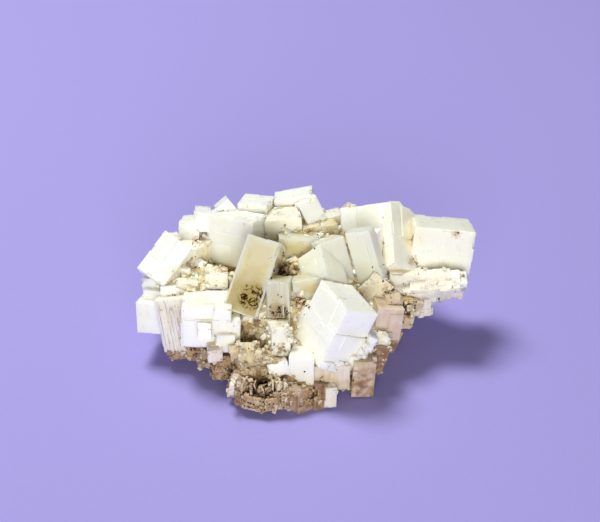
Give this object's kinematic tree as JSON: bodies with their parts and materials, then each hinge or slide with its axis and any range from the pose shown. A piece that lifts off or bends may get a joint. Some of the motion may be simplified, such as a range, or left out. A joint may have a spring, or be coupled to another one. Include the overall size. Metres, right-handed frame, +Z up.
{
  "type": "halite cubic crystal cluster",
  "caption": "Intergrown cluster of cubic halite crystals, milky and honey clear, on rough brownish salt matrix, cut off flat underneath to rest on a shelf.",
  "frame": {"origin": "on the flat cut that the cluster rests on, under the middle of its body", "axes": "+X to the right along the longest side, from the left wing to the right wing; +Y to the back; +Z up from the flat cut"},
  "size_m": [0.1301, 0.0896, 0.0536],
  "materials": {
    "milky_salt": "satin",
    "clear_salt": "gloss",
    "salt_matrix": "matte"
  },
  "bodies": {
    "root": {"halite_cluster": "milky_salt"}
  },
  "joints": []
}
